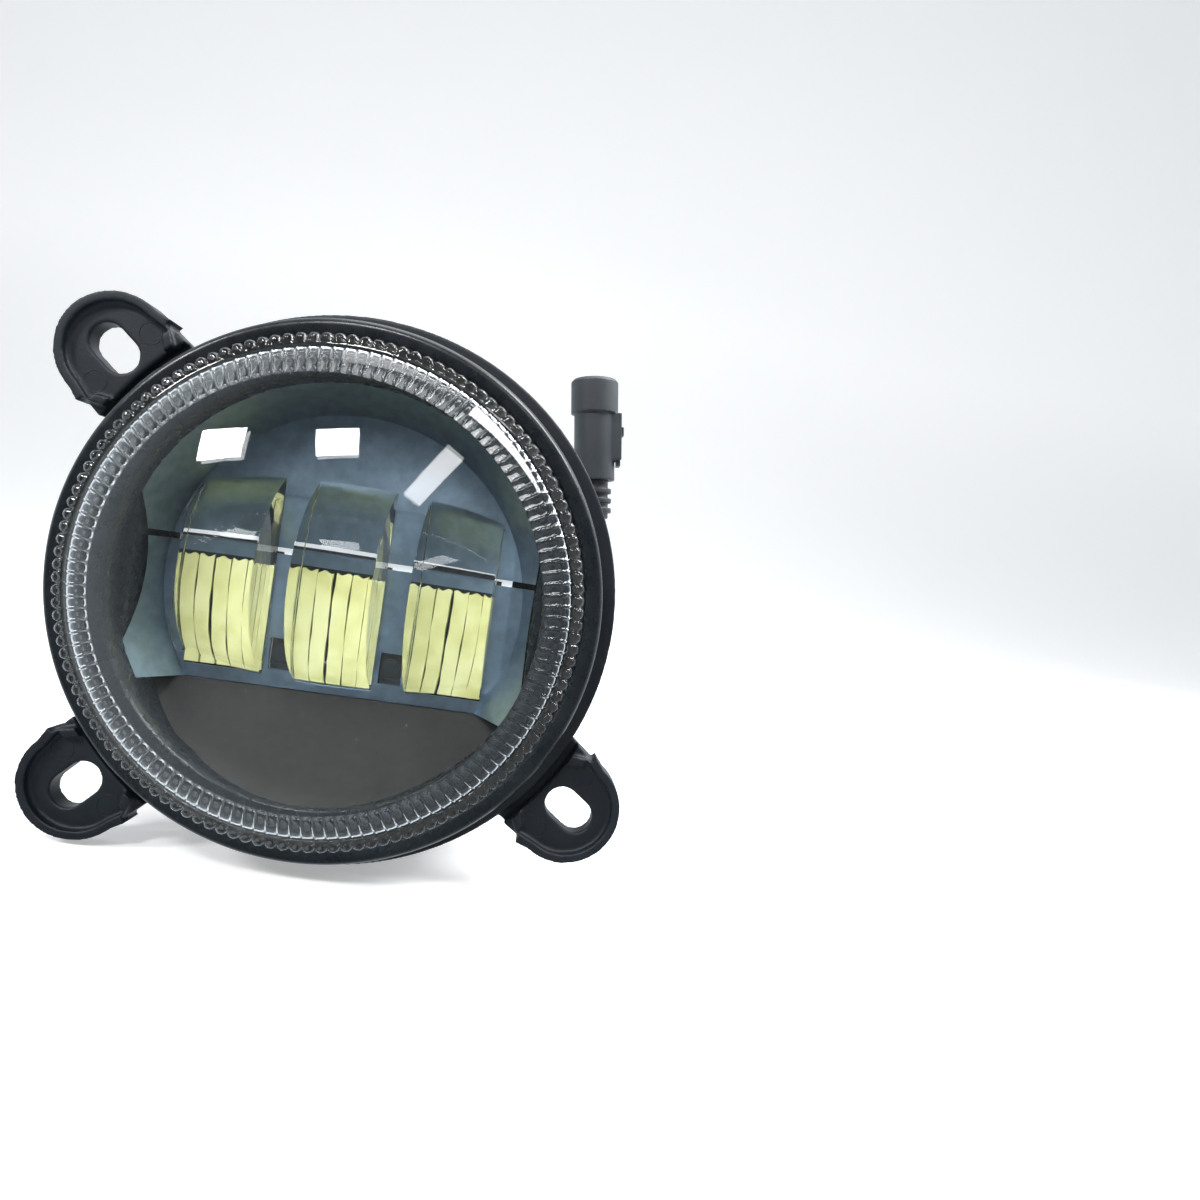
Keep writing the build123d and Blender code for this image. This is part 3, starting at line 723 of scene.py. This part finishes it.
def make_shade_panels(mats):
    """Painted shade: black panels on the board behind the strips and around its two screws, standing in for
    the shadow above the strips and the dark voids at the bottoms of the gaps between cells.
    """
    panels = (
        ("cell_left", -CELL_PITCH - 8.2, -CELL_PITCH + 8.2, SHADE_PANEL_LOW_Z, SHADE_PANEL_HIGH_Z),
        ("cell_centre", -7.9, 7.9, SHADE_PANEL_LOW_Z, SHADE_PANEL_HIGH_Z),
        ("cell_right", CELL_PITCH - 8.2, CELL_PITCH + 8.2, SHADE_PANEL_LOW_Z, SHADE_PANEL_HIGH_Z + 0.4),
        ("screw_left", -12.45, -7.95, SHADE_PANEL_LOW_Z, -9.6),
        ("screw_right", 7.95, 12.45, SHADE_PANEL_LOW_Z, -9.6),
    )
    # the painted shade panels sit just in front of the board, behind the strips
    shade_panel_y = (BOARD_FRONT_Y - 0.05) * MM
    for name, left, right, low, high in panels:
        corners = [(left, low), (right, low), (right, high), (left, high)]
        build = bmesh.new()
        build.faces.new([build.verts.new((x * MM, shade_panel_y, z * MM)) for x, z in corners])
        piece = from_bmesh(build, "painted_shade_" + name, smooth=False)
        thick = piece.modifiers.new("thick", "SOLIDIFY")
        thick.thickness = 0.04 * MM
        thick.offset = 0.0
        applied(piece)
        finish_piece(piece, mats, "seal_rubber", "lamp")


# ------------------------------------------------------------------ rear details

SCREW_AT = (-16.6, 23.0)
THREAD_PITCH = 1.25
THREAD_DEPTH = 0.5
THREAD_LOW_Z = -36.0
THREAD_CORE_R = 1.2
THREAD_FADE = 0.6


def make_screw(mats):
    """Aiming screw with its thread cut into the CAD shank."""
    piece = refined("adjuster_screw", "aim_screw", 0.14, 2)
    for vertex in piece.data.vertices:
        x = vertex.co.x / MM - SCREW_AT[0]
        y = vertex.co.y / MM - SCREW_AT[1]
        z = vertex.co.z / MM
        r = math.hypot(x, y)
        if z > THREAD_LOW_Z and r > THREAD_CORE_R:
            turn = (z / THREAD_PITCH - math.atan2(y, x) / (2 * math.pi)) % 1.0
            depth = THREAD_DEPTH * (1.0 - abs(2.0 * turn - 1.0))
            share = 1.0 - depth * min(1.0, (r - THREAD_CORE_R) / THREAD_FADE) / r
            vertex.co.x = (SCREW_AT[0] + x * share) * MM
            vertex.co.y = (SCREW_AT[1] + y * share) * MM
    finish_piece(piece, mats, "zinc_steel", "adjuster", "adjuster_screw")


def make_spring(mats):
    """Compression spring with one closed turn at each end."""
    low, high, coil_r, wire_r = -33.05, -4.85, 2.75, 0.45
    closed = 0.95
    middle_turns = 7.0
    rise = (high - low - 2 * closed) / middle_turns
    steps = 24
    total = int((middle_turns + 2) * steps)
    points = []
    z = low
    for step in range(total + 1):
        angle = 2 * math.pi * step / steps
        points.append((SCREW_AT[0] + coil_r * math.cos(angle), SCREW_AT[1] + coil_r * math.sin(angle), z))
        at_end = step < steps or step >= total - steps
        z += (closed if at_end else rise) / steps
    data = bpy.data.curves.new("spring_wire", "CURVE")
    data.dimensions = "3D"
    data.bevel_depth = wire_r * MM
    data.bevel_resolution = 4
    data.use_fill_caps = True
    line = data.splines.new("POLY")
    line.points.add(len(points) - 1)
    for target, place in zip(line.points, points):
        target.co = (place[0] * MM, place[1] * MM, place[2] * MM, 1.0)
    curve = link(bpy.data.objects.new("spring_wire", data))
    graph = bpy.context.evaluated_depsgraph_get()
    mesh = bpy.data.meshes.new_from_object(curve.evaluated_get(graph))
    bpy.data.objects.remove(curve)
    mesh.shade_smooth()
    piece = link(bpy.data.objects.new("spring", mesh))
    finish_piece(piece, mats, "spring_steel", "bracket", "adjuster_spring")
    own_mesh(piece)


def make_vent_cap(mats):
    """Breather cap with a bevelled edge and a dimpled middle."""
    profile = [(5.65, 18.7), (7.1, 18.6), (7.25, 18.8), (7.25, 27.9), (7.15, 28.3)]
    profile += [(6.5, 29.1), (6.2, 29.32), (5.9, 29.4), (3.0, 29.4), (2.75, 29.3), (2.5, 28.9), (2.1, 28.72)]
    profile += [(1.0, 28.68), (0.85, 28.75), (0.8, 29.1), (0.6, 29.22), (0.0, 29.25)]
    profile = [(0.0, 24.7), (5.5, 24.7), (5.65, 24.5)] + profile
    piece = lathe("vent_cap_skin", profile, 96)
    piece.data.transform(Matrix.Translation((33.5 * MM, 0, 0)))
    finish_piece(piece, mats, "cap_black", "lamp", "vent_cap")


# CAD node, piece that replaces it, voxel in mm, smoothing rounds, slot, body
ROUNDED = (
    ("mounting_ring", "ring_moulding", 0.32, 2, "ring_plastic", "bracket"),
    ("adjuster_nut", "nut_moulding", 0.16, 3, "nut_plastic", "lamp"),
    ("cable_gland", "gland_moulding", 0.2, 3, "gland_rubber", "lamp"),
    ("connector_boot", "boot_moulding", 0.16, 3, "boot_rubber", "lamp"),
    ("connector_shell", "connector_moulding", 0.17, 3, "connector_plastic", "lamp"),
    ("connector_latch", "latch_moulding", 0.12, 2, "connector_plastic", "lamp"),
    ("pivot_screw_left", "pivot_screw_skin_left", 0.14, 2, "black_steel", "lamp"),
    ("pivot_screw_right", "pivot_screw_skin_right", 0.14, 2, "black_steel", "lamp"),
)


def make_small_parts(mats):
    """Rounded skins for the moulded and cast pieces seen from behind and beside."""
    casting = tuck_flange(refined("rear_housing", "casting", 0.42, 5))
    finish_piece(casting, mats, "cast_black", "lamp", "rear_housing")
    finish_piece(make_flange(), mats, "cast_black", "lamp", "rear_housing")
    for node, name, voxel, rounds, slot_name, body in ROUNDED:
        finish_piece(refined(node, name, voxel, rounds), mats, slot_name, body, node)


# ------------------------------------------------------------------ studio

def make_stage():
    """Pale floor and a pale wall that curves up behind the lamp."""
    floor_z = cad_box[0].z - 0.001
    build = bmesh.new()
    outline = [(-3.5, 0.0), (1.6, 0.0)]
    for step in range(1, 13):
        angle = math.pi / 2 * step / 12
        outline.append((1.6 + 0.9 * math.sin(angle), 0.9 * (1 - math.cos(angle))))
    outline.append((2.5, 4.0))
    rows = []
    for x in (-5.0, 5.0):
        rows.append([build.verts.new((x, y, floor_z + z)) for y, z in outline])
    for index in range(len(outline) - 1):
        build.faces.new((rows[0][index], rows[1][index], rows[1][index + 1], rows[0][index + 1]))
    floor = from_bmesh(build, "floor")
    mat = new_material("floor_white", (0.9, 0.9, 0.9), 0.8)
    bsdf = mat.node_tree.nodes["Principled BSDF"]
    bsdf.inputs["Emission Color"].default_value = (1.0, 1.0, 1.0, 1.0)
    bsdf.inputs["Emission Strength"].default_value = 0.35
    bsdf.inputs["Specular IOR Level"].default_value = 0.1
    floor.data.materials.append(mat)
    floor.visible_glossy = False
    floor.visible_transmission = False


def area(name, place, target, width, height, power, across=(1, 0, 0)):
    """Rectangular lamp facing a target, its width lying along a given direction."""
    data = bpy.data.lights.new(name, "AREA")
    data.shape = "RECTANGLE"
    data.size = width
    data.size_y = height
    data.energy = power
    lamp = link(bpy.data.objects.new(name, data))
    back = (Vector(place) - Vector(target)).normalized()
    side = Vector(across)
    side = (side - back * back.dot(side)).normalized()
    turn = Matrix((side, back.cross(side), back)).transposed().to_4x4()
    lamp.matrix_world = Matrix.Translation(place) @ turn
    return lamp


def make_lights():
    """Room that is dim in front and brighter behind, two ceiling panels, a window and softboxes."""
    world = bpy.data.worlds.new("studio")
    bpy.context.scene.world = world
    world.use_nodes = True
    nodes = world.node_tree.nodes
    links = world.node_tree.links
    lit = nodes["Background"]
    lit.inputs["Color"].default_value = (0.84, 0.93, 1.0, 1.0)
    coords = nodes.new("ShaderNodeTexCoord")
    split = nodes.new("ShaderNodeSeparateXYZ")
    links.new(coords.outputs["Generated"], split.inputs["Vector"])
    sky = nodes.new("ShaderNodeMapRange")
    sky.inputs["From Min"].default_value = -0.45
    sky.inputs["From Max"].default_value = 0.25
    sky.inputs["To Min"].default_value = 0.13
    sky.inputs["To Max"].default_value = 1.25
    links.new(split.outputs["Y"], sky.inputs["Value"])
    links.new(sky.outputs["Result"], lit.inputs["Strength"])
    seen = nodes.new("ShaderNodeBackground")
    seen.inputs["Color"].default_value = (1.0, 1.0, 1.0, 1.0)
    seen.inputs["Strength"].default_value = 1.0
    path = nodes.new("ShaderNodeLightPath")
    mix = nodes.new("ShaderNodeMixShader")
    links.new(path.outputs["Is Camera Ray"], mix.inputs["Fac"])
    links.new(lit.outputs["Background"], mix.inputs[1])
    links.new(seen.outputs["Background"], mix.inputs[2])
    links.new(mix.outputs["Shader"], nodes["World Output"].inputs["Surface"])
    front = (0, -0.02, 0.02)
    area("ceiling_left", (-0.872, -0.655, 0.659), front, 0.27, 0.185, 8.0, (0.71, -0.60, 0.38))
    area("ceiling_right", (-0.278, -0.903, 0.855), front, 0.25, 0.185, 8.0, (0.96, -0.06, 0.27))
    area("window_strip", (0.323, -0.937, 0.780), front, 0.13, 0.46, 1.5, (0.90, -0.10, -0.43))
    area("rim_glint", (0.45, -0.06, 0.62), front, 0.42, 0.30, 8.0, (0.81, 0.0, -0.59))
    area("softbox_top", (0.2, 0.3, 1.5), (0, 0, 0), 1.4, 1.2, 16.0)
    area("softbox_side", (1.3, 0.5, 0.9), (0, 0, 0), 0.7, 0.5, 5.0)


bpy.context.scene.view_settings.view_transform = "Standard"
make_camera()
cable = make_cable()
mats = make_materials()
dress_cad(mats)
finish_piece(cable, mats, "cable_jacket", "lamp", "cable")
finish_piece(make_lens(), mats, "lens_clear", "lamp", "lens")
make_barrels(mats)
make_strips(mats)
make_ear_marks(mats)
make_screw(mats)
make_spring(mats)
make_vent_cap(mats)
make_small_parts(mats)
make_shade_panels(mats)
make_stage()
make_lights()
